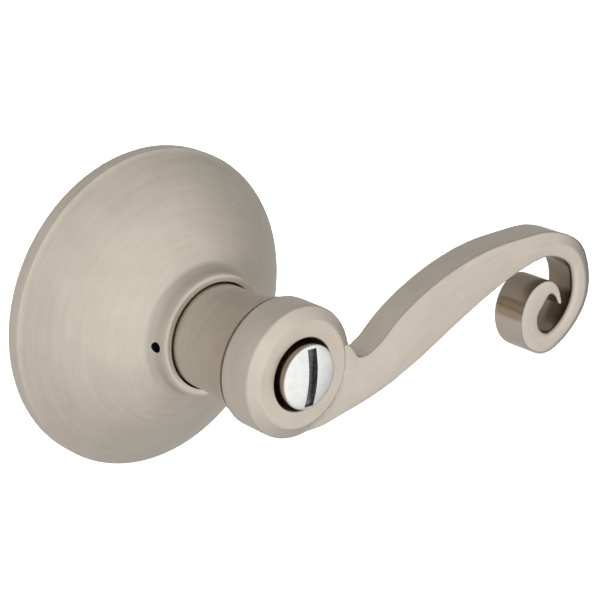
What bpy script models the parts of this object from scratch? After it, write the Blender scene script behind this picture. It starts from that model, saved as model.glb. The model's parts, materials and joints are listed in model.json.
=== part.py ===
"""Door lever handle: one half of a privacy lever set, piece by piece.

Frame: the origin is the centre of the rose's back plane, on the door's face.
+Y points into the door, +Z up, and the lever's arm points to +X.  The lever
and the turn button turn about the Y axis through the origin.
Lengths are in millimetres; to_bmesh() turns them into metres.
"""
import math

import bmesh
import bpy
import numpy as np

MM = 0.001
GAP = 0.3
SEGMENTS = 48

# Rose: a pressed cover with a skirt, a shallow dome and a raised collar
ROSE_RADIUS = 37.0
ROSE_SHEET = 1.0
SKIRT_DEPTH = 3.4
SKIRT_CHAMFER = 0.5
DOME_INNER_RADIUS = 15.6
DOME_HEIGHT = 19.5
DOME_SAGITTA = 1.05
COLLAR_HEIGHT = 24.8
COLLAR_RADIUS = 14.0
COLLAR_FILLET = 0.5
COLLAR_EDGE = 1.0
ROSE_HOLE_RADIUS = 12.3
ROSE_HOLE_DEPTH = 0.9
RELEASE_HOLE_RADIUS = 1.3
RELEASE_HOLE_Y = -22.1
RELEASE_HOLE_Z = 0.45

# Mounting plate, screw posts and the housing of the return spring
PLATE_THICKNESS = 1.6
PLATE_HOLE_RADIUS = 7.5
POST_OFFSET = 19.0
POST_RADIUS = 3.2
POST_HEAD_RADIUS = 3.5
POST_HEAD_HEIGHT = 1.2
POST_REACH = 21.0
POST_THREAD_RADIUS = 1.9
POST_THREAD_DEPTH = 18.0
HOUSING_RADIUS = 15.1
HOUSING_WALL = 1.1
HOUSING_FRONT = -14.3
HOUSING_FRONT_WALL = 1.4
EAR_CENTRE = 18.2
EAR_RADIUS = 3.0
EAR_THICKNESS = 2.0
EAR_ANGLES = (90.0, 210.0, 330.0)
SCREW_RADIUS = 1.5
SCREW_HEAD_RADIUS = 2.6
SCREW_HEAD_HEIGHT = 1.3
SCREW_HEAD_CHAMFER = 0.6

# Drive tube and what sits on it
TUBE_RADIUS = 8.9
TUBE_BORE = 7.4
TUBE_REAR = -4.9
TUBE_FRONT = -39.6
TUBE_GROOVE_RADIUS = 8.4
TUBE_GROOVE_WIDTH = 1.4
BUSHING_RADIUS = 10.4
BUSHING_FLANGE_RADIUS = 12.2
BUSHING_FLANGE = 0.8
BUSHING_REACH = 1.8
WASHER_THICKNESS = 0.4
RING_THICKNESS = 0.8
THRUST_FACE = HOUSING_FRONT - BUSHING_FLANGE - 2 * GAP
CAM_RADIUS = 10.6
CAM_TAB_RADIUS = 13.6
CAM_TAB_HALF_ANGLE = 12.0
CAM_THICKNESS = 1.6
LEVER_TRAVEL = 45.0
STOP_CLEARANCE_ANGLE = 2.0
STOP_WIDTH_ANGLE = 22.0
STOP_HEIGHT = 1.4
STOP_FRONT = -5.0
SPRING_WIRE = 1.6
SPRING_RADIUS = 11.8
SPRING_TURNS = 2.9
SPRING_STEPS = 52
SPRING_END = -3.4
SPINDLE_RADIUS = 5.2
SPINDLE_FLAT = 4.2
SPINDLE_BORE = 3.0
SPINDLE_HEAD = 1.5
SPINDLE_REACH = 33.0

# Lever: neck, hub and the arm with its scroll
NECK_REAR = -17.6
NECK_RADIUS = 11.8
NECK_FLARE_START = -27.0
NECK_FLARE_SAGITTA = 0.65
NECK_FRONT_RADIUS = 14.0
LEVER_BORE = TUBE_RADIUS + GAP
HUB_RADIUS = 14.5
HUB_REAR = -43.9
HUB_CHAMFER = 0.3
HUB_EDGE = -51.5
HUB_RING_RADIUS = 11.8
HUB_FACE = -53.1
RECESS_RADIUS = 7.95
WEB_FRONT = -45.0
WEB_REAR = -40.0
WEB_BORE = 5.4
ARM_FRONT = -52.8
ARM_REAR_AT_HUB = -45.8
ARM_REAR_AT_SCROLL = -43.3
ARM_FRONT_CHAMFER = 0.5
ARM_BACK_CHAMFER = 0.7
ARM_CHAMFER_SHARE = 0.3
# the arm's front starts this much lower, level with the bevel of the hub, and
# rises between these x positions: later at its upper edge than at its lower one
ARM_ROOT_DROP = 1.0
ARM_ROOT_UPPER = (10.0, 22.0)
ARM_ROOT_LOWER = (0.0, 8.0)
# the upper edge runs level beside the hub, up to this x position
NOTCH_END = 23.0
NOTCH_FLOOR = -1.1
# centre line of the arm: x, z and width, from inside the hub to the scroll
ARM_KNOTS = (
    (0.0, -7.3, 14.0),
    (6.0, -7.2, 13.3),
    (11.0, -7.05, 12.0),
    (17.4, -6.5, 11.0),
    (24.1, -5.0, 10.9),
    (32.0, -0.95, 13.3),
    (43.0, 3.9, 13.4),
    (56.0, 7.9, 11.2),
    (67.0, 9.6, 8.2),
)
SCROLL_CENTRE = (78.3, -6.2)
# the scroll winds clockwise, seen from the room: degrees from its top,
# radius of the centre line and width
SCROLL_KNOTS = (
    (0, 15.8, 6.1),
    (45, 14.2, 6.1),
    (90, 12.1, 6.3),
    (135, 9.8, 5.3),
    (180, 9.2, 5.2),
    (225, 7.9, 5.5),
    (270, 6.4, 5.8),
    (315, 5.2, 6.2),
    (360, 5.0, 3.7),
    (400, 4.3, 2.0),
    (440, 4.0, 1.3),
)
PATH_STEPS = 4

# Lever catch: a sprung nose in the wall of the drive tube
CATCH_Y = RELEASE_HOLE_Y
CATCH_NOSE_RADIUS = 10.9
CATCH_NOSE_HALF = 1.5
CATCH_FOOT = (5.4, 6.7)
CATCH_FOOT_HALF_WIDTH = 2.6
CATCH_FOOT_HALF_LENGTH = 2.7
LEAF = (6.5, 6.9)
LEAF_HALF_WIDTH = 2.0
LEAF_LENGTH = 12.0
WINDOW_DEPTH = 2.0

# Turn button, its guide and the blade it turns
BUTTON_RADIUS = 7.1
BUTTON_EDGE = -55.3
BUTTON_CROWN = -56.2
BUTTON_EDGE_WIDTH = 0.6
BUTTON_BACK = -48.5
STEM_RADIUS = 3.6
STEM_REAR = -38.2
STEM_GROOVE_RADIUS = 3.1
STEM_GROOVE_WIDTH = 1.4
SLOT_LENGTH = 12.7
SLOT_WIDTH = 2.4
SLOT_FLOOR = -54.4
SLOT_LEAN = 4.0
SLEEVE_BORE = STEM_RADIUS + GAP
SLEEVE_FLANGE = 2.3
CLIP_THICKNESS = 0.8
BUTTON_WASHER_THICKNESS = 0.3
BLADE_CLEARANCE = 0.15
BLADE_WIDTH = 4.8
BLADE_THICKNESS = 1.5
BLADE_FRONT = -46.0
BLADE_REACH = 36.0


def clear_scene():
    for obj in list(bpy.data.objects):
        bpy.data.objects.remove(obj, do_unlink=True)


def make_material(name, colour, metallic, roughness):
    material = bpy.data.materials.new(name)
    material.use_nodes = True
    shader = material.node_tree.nodes["Principled BSDF"]
    shader.inputs["Base Color"].default_value = (*colour, 1.0)
    shader.inputs["Metallic"].default_value = metallic
    shader.inputs["Roughness"].default_value = roughness
    return material


def add_object(name, bm, material=None, parent=None):
    """Make a named object of a closed bmesh, its faces pointing out."""
    bmesh.ops.recalc_face_normals(bm, faces=bm.faces)
    mesh = bpy.data.meshes.new(name)
    bm.to_mesh(mesh)
    bm.free()
    mesh.shade_smooth()
    mesh.set_sharp_from_angle(angle=math.radians(30))
    if material:
        mesh.materials.append(material)
    obj = bpy.data.objects.new(name, mesh)
    obj.parent = parent
    bpy.context.collection.objects.link(obj)
    return obj


def add_axis(name, parent=None):
    """An empty on a joint's axis, to parent the moving pieces to."""
    empty = bpy.data.objects.new(name, None)
    empty.parent = parent
    bpy.context.collection.objects.link(empty)
    return empty


def boolean(target, tool, operation):
    tool.hide_render = True
    tool.display_type = "WIRE"
    modifier = target.modifiers.new(tool.name, "BOOLEAN")
    modifier.operation = operation
    modifier.object = tool


def to_bmesh(points, faces):
    """A bmesh of points in millimetres."""
    bm = bmesh.new()
    verts = [bm.verts.new((x * MM, y * MM, z * MM)) for x, y, z in points]
    for face in faces:
        bm.faces.new([verts[i] for i in face])
    return bm


def lathe(profile, segments=SEGMENTS):
    """Turn a profile of (radius, y) about the Y axis.

    A profile that starts and ends at radius 0 makes a solid; any other one
    is a closed loop and makes a ring.
    """
    on_axis = profile[0][0] == 0
    turned = profile[1:-1] if on_axis else profile
    points = []
    for radius, y in turned:
        for k in range(segments):
            angle = 2 * math.pi * k / segments
            points.append((radius * math.cos(angle), y, radius * math.sin(angle)))
    faces = []
    last = len(turned) - 1 if on_axis else len(turned)
    for i in range(last):
        a = i * segments
        b = (i + 1) % len(turned) * segments
        for k in range(segments):
            n = (k + 1) % segments
            faces.append((a + k, a + n, b + n, b + k))
    if on_axis:
        faces.append(range(segments))
        faces.append(range(last * segments, (last + 1) * segments))
    return to_bmesh(points, faces)


def prism(outline, y_low, y_high):
    """Extrude an outline of (x, z) along Y."""
    count = len(outline)
    points = [(x, y, z) for y in (y_low, y_high) for x, z in outline]
    faces = [range(count), range(count, 2 * count)]
    for k in range(count):
        n = (k + 1) % count
        faces.append((k, n, count + n, count + k))
    return to_bmesh(points, faces)


def box(x_range, y_range, z_range):
    (x0, x1), (z0, z1) = x_range, z_range
    return prism([(x0, z0), (x1, z0), (x1, z1), (x0, z1)], *y_range)


def polar(radius, degrees, centre=(0.0, 0.0)):
    angle = math.radians(degrees)
    return centre[0] + radius * math.cos(angle), centre[1] + radius * math.sin(angle)


def circle(radius, centre=(0.0, 0.0), count=16):
    return [polar(radius, (k + 0.4) * 360 / count, centre) for k in range(count)]


def sector(radii, middle, half_angle, y_range, steps=4):
    """A block between two radii, on both sides of an angle from +X to +Z."""
    angles = np.linspace(middle - half_angle, middle + half_angle, steps)
    inner = [polar(radii[0], a) for a in angles]
    outer = [polar(radii[1], a) for a in reversed(angles)]
    return prism(inner + outer, *y_range)


def arc(start, end, sagitta, count):
    """Points from start to end on a parabolic arc that bulges to its left."""
    start = np.array(start)
    end = np.array(end)
    chord = end - start
    left = np.array([-chord[1], chord[0]]) / np.linalg.norm(chord)
    points = []
    for t in np.linspace(0.0, 1.0, count):
        points.append(tuple(start + chord * t + left * sagitta * 4 * t * (1 - t)))
    return points


def rose(material):
    dome_start = (ROSE_RADIUS - SKIRT_CHAMFER, -SKIRT_DEPTH)
    dome_end = (DOME_INNER_RADIUS, -DOME_HEIGHT)
    inner = ROSE_RADIUS - ROSE_SHEET
    collar_bore = COLLAR_RADIUS - ROSE_SHEET
    hole_rear = ROSE_HOLE_DEPTH - COLLAR_HEIGHT
    profile = [
        (inner, 0.0),
        (ROSE_RADIUS, 0.0),
        (ROSE_RADIUS, SKIRT_CHAMFER - SKIRT_DEPTH),
    ]
    profile += arc(dome_start, dome_end, DOME_SAGITTA, 8)
    profile += [
        (COLLAR_RADIUS + COLLAR_FILLET, RELEASE_HOLE_Y + RELEASE_HOLE_RADIUS + COLLAR_FILLET),
        (COLLAR_RADIUS, RELEASE_HOLE_Y),
    ]
    profile += arc((COLLAR_RADIUS, COLLAR_EDGE - COLLAR_HEIGHT),
                   (COLLAR_RADIUS - COLLAR_EDGE, -COLLAR_HEIGHT), COLLAR_EDGE * 0.3, 3)
    profile += [
        (ROSE_HOLE_RADIUS, -COLLAR_HEIGHT),
        (ROSE_HOLE_RADIUS, hole_rear),
        (collar_bore, hole_rear + COLLAR_FILLET),
    ]
    inside_end = (DOME_INNER_RADIUS - 0.6 * ROSE_SHEET, 0.9 * ROSE_SHEET - DOME_HEIGHT)
    inside_start = (inner - SKIRT_CHAMFER, 0.8 * ROSE_SHEET - SKIRT_DEPTH)
    profile.append((collar_bore, inside_end[1] - COLLAR_FILLET))
    profile += arc(inside_end, inside_start, -DOME_SAGITTA, 6)
    profile.append((inner, ROSE_SHEET - SKIRT_DEPTH + SKIRT_CHAMFER))
    obj = add_object("rose", lathe(profile), material)
    length = 2 * (COLLAR_RADIUS - collar_bore) + 3.0
    hole = [(0, 0), (RELEASE_HOLE_RADIUS, 0), (RELEASE_HOLE_RADIUS, length), (0, length)]
    cutter = add_object("release_hole_cutter", lathe(hole, 16))
    cutter.location = (-(COLLAR_RADIUS + 3) * MM, RELEASE_HOLE_Y * MM, RELEASE_HOLE_Z * MM)
    cutter.rotation_euler = (0, 0, math.radians(-90))
    boolean(obj, cutter, "DIFFERENCE")


def mounting_plate(material):
    rim = ROSE_RADIUS - ROSE_SHEET - GAP
    profile = [
        (PLATE_HOLE_RADIUS, 0.0),
        (rim, 0.0),
        (rim, -PLATE_THICKNESS),
        (PLATE_HOLE_RADIUS, -PLATE_THICKNESS),
    ]
    obj = add_object("mounting_plate", lathe(profile, 40), material)
    holes = [(polar(EAR_CENTRE, angle), SCREW_RADIUS + GAP) for angle in EAR_ANGLES]
    holes += [((side * POST_OFFSET, 0.0), POST_RADIUS + GAP) for side in (-1, 1)]
    for index, (centre, radius) in enumerate(holes):
        cutter = add_object(f"plate_hole_cutter_{index}", prism(circle(radius, centre), -3.0, 1.0))
        boolean(obj, cutter, "DIFFERENCE")


def screw_posts(material):
    head_rear = -PLATE_THICKNESS - GAP
    thread_end = POST_REACH - POST_THREAD_DEPTH
    profile = [
        (0, head_rear - POST_HEAD_HEIGHT),
        (POST_HEAD_RADIUS, head_rear - POST_HEAD_HEIGHT),
        (POST_HEAD_RADIUS, head_rear),
        (POST_RADIUS, head_rear),
        (POST_RADIUS, POST_REACH),
        (POST_THREAD_RADIUS, POST_REACH),
        (POST_THREAD_RADIUS, thread_end),
        (0, thread_end),
    ]
    for name, side in (("screw_post_left", -1), ("screw_post_right", 1)):
        post = add_object(name, lathe(profile, 18), material)
        post.location.x = side * POST_OFFSET * MM


def spring_housing(material):
    rear = -PLATE_THICKNESS - GAP
    inner = HOUSING_RADIUS - HOUSING_WALL
    bore = BUSHING_RADIUS + GAP
    profile = [
        (inner, rear),
        (HOUSING_RADIUS, rear),
        (HOUSING_RADIUS, HOUSING_FRONT),
        (bore, HOUSING_FRONT),
        (bore, HOUSING_FRONT + HOUSING_FRONT_WALL),
        (inner, HOUSING_FRONT + HOUSING_FRONT_WALL),
    ]
    obj = add_object("spring_housing", lathe(profile, 36), material)
    for index, angle in enumerate(EAR_ANGLES):
        centre = polar(EAR_CENTRE, angle)
        outline = [polar(EAR_RADIUS, angle + turn, centre) for turn in range(-90, 91, 15)]
        outline += [polar(HOUSING_RADIUS - 0.5, angle + turn) for turn in (11, -11)]
        ear = add_object(f"ear_{index}", prism(outline, rear - EAR_THICKNESS, rear))
        boolean(obj, ear, "UNION")
        outline = circle(SCREW_RADIUS + GAP, centre)
        hole = add_object(f"ear_hole_cutter_{index}", prism(outline, rear - 3, rear + 1))
        boolean(obj, hole, "DIFFERENCE")
    stop_angle = LEVER_TRAVEL + CAM_TAB_HALF_ANGLE + STOP_CLEARANCE_ANGLE + STOP_WIDTH_ANGLE / 2
    stop_radii = (inner - STOP_HEIGHT, inner + HOUSING_WALL / 2)
    for side in (-1, 1):
        block = sector(stop_radii, 90 + side * stop_angle, STOP_WIDTH_ANGLE / 2,
                       (STOP_FRONT, rear - GAP))
        stop = add_object("stop_left" if side > 0 else "stop_right", block)
        boolean(obj, stop, "UNION")


def housing_screws(material):
    head_rear = -PLATE_THICKNESS - 2 * GAP - EAR_THICKNESS
    head_front = head_rear - SCREW_HEAD_HEIGHT
    profile = [
        (0, head_front),
        (SCREW_HEAD_RADIUS - SCREW_HEAD_CHAMFER, head_front),
        (SCREW_HEAD_RADIUS, head_front + SCREW_HEAD_CHAMFER),
        (SCREW_HEAD_RADIUS, head_rear),
        (SCREW_RADIUS, head_rear),
        (SCREW_RADIUS, -GAP),
        (0, -GAP),
    ]
    for index, angle in enumerate(EAR_ANGLES):
        screw = add_object(f"housing_screw_{index + 1}", lathe(profile, 12), material)
        x, z = polar(EAR_CENTRE, angle)
        screw.location = (x * MM, 0, z * MM)


def tube_bushing(material):
    flange = HOUSING_FRONT - GAP
    bore = TUBE_RADIUS + GAP
    profile = [
        (bore, flange - BUSHING_FLANGE),
        (BUSHING_FLANGE_RADIUS, flange - BUSHING_FLANGE),
        (BUSHING_FLANGE_RADIUS, flange),
        (BUSHING_RADIUS, flange),
        (BUSHING_RADIUS, flange + BUSHING_REACH),
        (bore, flange + BUSHING_REACH),
    ]
    add_object("tube_bushing", lathe(profile, 28), material)


def flat_ring(name, radii, y_range, material, parent=None):
    (inner, outer), (front, rear) = radii, y_range
    profile = [(inner, front), (outer, front), (outer, rear), (inner, rear)]
    return add_object(name, lathe(profile, 28), material, parent)


def return_spring(material):
    """A coil round the drive tube; its rear end runs to the cam's tab."""
    pitch = SPRING_WIRE + GAP
    front = HOUSING_FRONT + HOUSING_FRONT_WALL + GAP + SPRING_WIRE / 2
    end_angle = 90 + CAM_TAB_HALF_ANGLE + 6
    route = []
    for turns in np.linspace(0.0, SPRING_TURNS, SPRING_STEPS):
        x, z = polar(SPRING_RADIUS, end_angle + 360 * (turns - SPRING_TURNS))
        route.append((x, front + turns * pitch, z))
    x, y, z = route[-1]
    route += [(x, y + SPRING_WIRE / 2, z), (x, SPRING_END, z)]
    curve = bpy.data.curves.new("return_spring", "CURVE")
    curve.dimensions = "3D"
    curve.bevel_depth = SPRING_WIRE / 2 * MM
    curve.bevel_resolution = 1
    curve.use_fill_caps = True
    spline = curve.splines.new("POLY")
    spline.points.add(len(route) - 1)
    for point, (x, y, z) in zip(spline.points, route):
        point.co = (x * MM, y * MM, z * MM, 1.0)
    curve.materials.append(material)
    bpy.context.collection.objects.link(bpy.data.objects.new("return_spring", curve))


def smooth_path(knots, steps):
    """A curve of x, z and width through the knots, with even tangents."""
    knots = np.array(knots)
    before = 2 * knots[0] - knots[1]
    after = 2 * knots[-1] - knots[-2]
    knots = np.vstack([before, knots, after])
    chord = np.sqrt(np.linalg.norm(np.diff(knots[:, :2], axis=0), axis=1))
    tangents = []
    for i in range(1, len(knots) - 1):
        back = (knots[i] - knots[i - 1]) / chord[i - 1] ** 2
        ahead = (knots[i + 1] - knots[i]) / chord[i] ** 2
        share = chord[i] / (chord[i] + chord[i - 1])
        tangents.append(back * share + ahead * (1 - share))
    path = []
    for i in range(len(tangents) - 1):
        span = chord[i + 1] ** 2
        for t in np.arange(steps) / steps:
            start = knots[i + 1] * (2 * t ** 3 - 3 * t ** 2 + 1)
            leave = tangents[i] * span * (t ** 3 - 2 * t ** 2 + t)
            end = knots[i + 2] * (3 * t ** 2 - 2 * t ** 3)
            arrive = tangents[i + 1] * span * (t ** 3 - t ** 2)
            path.append(start + leave + end + arrive)
    path.append(knots[-2])
    return np.array(path)


def smooth_step(value, low, high):
    t = min(1.0, max(0.0, (value - low) / (high - low)))
    return t * t * (3 - 2 * t)


def arm_stations():
    """Stations along the arm: x, z, width, rear and the unit tangent in XZ."""
    scroll = []
    for turn, radius, width in SCROLL_KNOTS:
        scroll.append((*polar(radius, 90 - turn, SCROLL_CENTRE), width))
    path = smooth_path(list(ARM_KNOTS) + scroll, PATH_STEPS)
    tangents = np.gradient(path[:, :2], axis=0)
    tangents /= np.linalg.norm(tangents, axis=1)[:, None]
    rears = np.linspace(ARM_REAR_AT_HUB, ARM_REAR_AT_SCROLL, len(path))
    stations = [(*point, rear, *tangent) for point, rear, tangent in zip(path, rears, tangents)]
    x, z, width, rear, tx, tz = stations[-1]
    for degrees in (30, 60, 80):
        ahead = width / 2 * math.sin(math.radians(degrees))
        narrow = width * math.cos(math.radians(degrees))
        stations.append((x + tx * ahead, z + tz * ahead, narrow, rear, tx, tz))
    return stations


def arm():
    """The arm as a bar with chamfered edges, swept along its stations."""
    points = []
    for x, z, width, rear, tx, tz in arm_stations():
        half = width / 2
        edge = min(ARM_FRONT_CHAMFER, width * ARM_CHAMFER_SHARE)
        back = min(ARM_BACK_CHAMFER, width * ARM_CHAMFER_SHARE)
        upper = ARM_FRONT + ARM_ROOT_DROP * (1 - smooth_step(x, *ARM_ROOT_UPPER))
        lower = ARM_FRONT + ARM_ROOT_DROP * (1 - smooth_step(x, *ARM_ROOT_LOWER))
        top = half
        if x < NOTCH_END:
            top = min(half, (NOTCH_FLOOR - z) / tx)
        section = [
            (top, upper + edge),
            (top - edge, upper),
            (edge - half, lower),
            (-half, lower + edge),
            (-half, rear - back),
            (back - half, rear),
            (top - back, rear),
            (top, rear - back),
        ]
        for across, y in section:
            points.append((x - tz * across, y, z + tx * across))
    sides = 8
    count = len(points) // sides
    faces = [range(sides), range((count - 1) * sides, count * sides)]
    for i in range(count - 1):
        for k in range(sides):
            n = (k + 1) % sides
            faces.append((i * sides + k, i * sides + n, (i + 1) * sides + n, (i + 1) * sides + k))
    return to_bmesh(points, faces)


def lever(material, axis):
    profile = [
        (0, HUB_FACE),
        (HUB_RING_RADIUS - HUB_CHAMFER, HUB_FACE),
        (HUB_RING_RADIUS, HUB_FACE + HUB_CHAMFER / 2),
        (HUB_RADIUS - HUB_CHAMFER, HUB_EDGE - HUB_CHAMFER / 2),
        (HUB_RADIUS, HUB_EDGE + HUB_CHAMFER / 2),
        (HUB_RADIUS, HUB_REAR - HUB_CHAMFER),
        (HUB_RADIUS - HUB_CHAMFER, HUB_REAR),
    ]
    profile += arc((NECK_FRONT_RADIUS, HUB_REAR), (NECK_RADIUS, NECK_FLARE_START),
                   NECK_FLARE_SAGITTA, 6)
    profile += [(NECK_RADIUS, NECK_REAR), (0, NECK_REAR)]
    obj = add_object("lever", lathe(profile), material, axis)
    boolean(obj, add_object("arm", arm(), parent=axis), "UNION")
    cavity = [
        (0, NECK_REAR + 1),
        (LEVER_BORE, NECK_REAR + 1),
        (LEVER_BORE, WEB_REAR),
        (WEB_BORE, WEB_REAR),
        (WEB_BORE, WEB_FRONT),
        (RECESS_RADIUS, WEB_FRONT),
        (RECESS_RADIUS, HUB_FACE - 1),
        (0, HUB_FACE - 1),
    ]
    boolean(obj, add_object("lever_cavity_cutter", lathe(cavity, 40), parent=axis), "DIFFERENCE")
    boolean(obj, catch_window("lever_window_cutter", NECK_RADIUS + 2, axis), "DIFFERENCE")


def catch_window(name, reach, axis):
    """Cutter for the opening that the catch's nose comes through."""
    half = CATCH_NOSE_HALF + GAP
    x_range = (-reach, WINDOW_DEPTH - TUBE_BORE)
    window = box(x_range, (CATCH_Y - half, CATCH_Y + half), (-half, half))
    return add_object(name, window, parent=axis)


def drive_tube(material, axis):
    groove_rear = THRUST_FACE - WASHER_THICKNESS
    groove_front = groove_rear - TUBE_GROOVE_WIDTH
    profile = [
        (TUBE_BORE, TUBE_FRONT),
        (TUBE_RADIUS, TUBE_FRONT),
        (TUBE_RADIUS, groove_front),
        (TUBE_GROOVE_RADIUS, groove_front),
        (TUBE_GROOVE_RADIUS, groove_rear),
        (TUBE_RADIUS, groove_rear),
        (TUBE_RADIUS, TUBE_REAR),
        (TUBE_BORE, TUBE_REAR),
    ]
    obj = add_object("drive_tube", lathe(profile, 32), material, axis)
    boolean(obj, catch_window("tube_window_cutter", TUBE_RADIUS + 1, axis), "DIFFERENCE")


def flatted_outline(radius, flat, count=24):
    """A circle of (x, z) cut off by a flat below its centre."""
    return [(x, max(z, -flat)) for x, z in circle(radius, count=count)]


def drive_cam(material, axis):
    rear = TUBE_REAR + GAP + CAM_THICKNESS
    span = (rear - CAM_THICKNESS, rear)
    obj = add_object("drive_cam", prism(circle(CAM_RADIUS, count=36), *span), material, axis)
    tab = sector((CAM_RADIUS - 2, CAM_TAB_RADIUS), 90, CAM_TAB_HALF_ANGLE, span)
    boolean(obj, add_object("cam_tab", tab, parent=axis), "UNION")
    outline = flatted_outline(SPINDLE_RADIUS + GAP, SPINDLE_FLAT + GAP)
    hole = prism(outline, span[0] - 1, span[1] + 1)
    boolean(obj, add_object("cam_hole_cutter", hole, parent=axis), "DIFFERENCE")


def spindle(material, axis):
    shank = prism(flatted_outline(SPINDLE_RADIUS, SPINDLE_FLAT), TUBE_REAR - 1, SPINDLE_REACH)
    obj = add_object("spindle", shank, material, axis)
    head_radius = TUBE_BORE - GAP
    head_front = TUBE_REAR - SPINDLE_HEAD
    head = [(0, head_front), (head_radius, head_front), (head_radius, TUBE_REAR), (0, TUBE_REAR)]
    boolean(obj, add_object("spindle_head", lathe(head, 28), parent=axis), "UNION")
    front = head_front - 1
    rear = SPINDLE_REACH + 1
    bore = [(0, front), (SPINDLE_BORE, front), (SPINDLE_BORE, rear), (0, rear)]
    boolean(obj, add_object("spindle_bore_cutter", lathe(bore, 24), parent=axis), "DIFFERENCE")


def button_sleeve(material, axis):
    flange_rear = WEB_FRONT - GAP
    profile = [
        (SLEEVE_BORE, WEB_REAR),
        (WEB_BORE - GAP, WEB_REAR),
        (WEB_BORE - GAP, flange_rear),
        (RECESS_RADIUS - GAP, flange_rear),
        (RECESS_RADIUS - GAP, flange_rear - SLEEVE_FLANGE),
        (SLEEVE_BORE, flange_rear - SLEEVE_FLANGE),
    ]
    add_object("button_sleeve", lathe(profile, 28), material, axis)


def lever_catch(material, axis):
    nose_span = (CATCH_Y - CATCH_NOSE_HALF, CATCH_Y + CATCH_NOSE_HALF)
    foot_span = (CATCH_Y - CATCH_FOOT_HALF_LENGTH, CATCH_Y + CATCH_FOOT_HALF_LENGTH)
    width = CATCH_FOOT_HALF_WIDTH
    foot = box((-CATCH_FOOT[1], -CATCH_FOOT[0]), foot_span, (-width, width))
    obj = add_object("lever_catch", foot, material, axis)
    nose_reach = (-CATCH_NOSE_RADIUS, -CATCH_FOOT[0] - GAP)
    nose = box(nose_reach, nose_span, (-CATCH_NOSE_HALF, CATCH_NOSE_HALF))
    boolean(obj, add_object("catch_nose", nose, parent=axis), "UNION")


def catch_spring(material, axis):
    rear = CATCH_Y - CATCH_FOOT_HALF_LENGTH - GAP
    width = LEAF_HALF_WIDTH
    leaf = box((-LEAF[1], -LEAF[0]), (rear - LEAF_LENGTH, rear), (-width, width))
    add_object("catch_spring", leaf, material, axis)


def turn_button(material, axis):
    crown_radius = BUTTON_RADIUS - BUTTON_EDGE_WIDTH
    crown_height = BUTTON_EDGE - BUTTON_CROWN
    profile = [(0, BUTTON_CROWN)]
    for t in (0.35, 0.6, 0.8, 1.0):
        profile.append((t * crown_radius, BUTTON_CROWN + crown_height * t * t))
    profile += [
        (BUTTON_RADIUS - BUTTON_EDGE_WIDTH / 4, BUTTON_EDGE + BUTTON_EDGE_WIDTH / 2),
        (BUTTON_RADIUS, BUTTON_EDGE + 1.5 * BUTTON_EDGE_WIDTH),
        (BUTTON_RADIUS, BUTTON_BACK),
        (STEM_RADIUS, BUTTON_BACK),
        (STEM_RADIUS, WEB_REAR),
        (STEM_GROOVE_RADIUS, WEB_REAR),
        (STEM_GROOVE_RADIUS, WEB_REAR + STEM_GROOVE_WIDTH),
        (STEM_RADIUS, WEB_REAR + STEM_GROOVE_WIDTH),
        (STEM_RADIUS, STEM_REAR),
        (0, STEM_REAR),
    ]
    obj = add_object("turn_button", lathe(profile, 32), material, axis)
    slots = {
        "coin_slot_cutter": (SLOT_WIDTH / 2, SLOT_LENGTH / 2, (BUTTON_CROWN - 1, SLOT_FLOOR)),
        "blade_slot_cutter": (BLADE_THICKNESS / 2 + BLADE_CLEARANCE, BLADE_WIDTH / 2 + GAP,
                              (BLADE_FRONT - GAP, STEM_REAR + 1)),
    }
    for name, (half_width, half_length, y_range) in slots.items():
        slot = box((-half_width, half_width), y_range, (-half_length, half_length))
        cutter = add_object(name, slot, parent=axis)
        cutter.rotation_euler.y = math.radians(SLOT_LEAN)
        boolean(obj, cutter, "DIFFERENCE")


def torque_blade(material, axis):
    half_width = BLADE_THICKNESS / 2
    half_length = BLADE_WIDTH / 2
    blade = box((-half_width, half_width), (BLADE_FRONT, BLADE_REACH), (-half_length, half_length))
    obj = add_object("torque_blade", blade, material, axis)
    obj.rotation_euler.y = math.radians(SLOT_LEAN)


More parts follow.
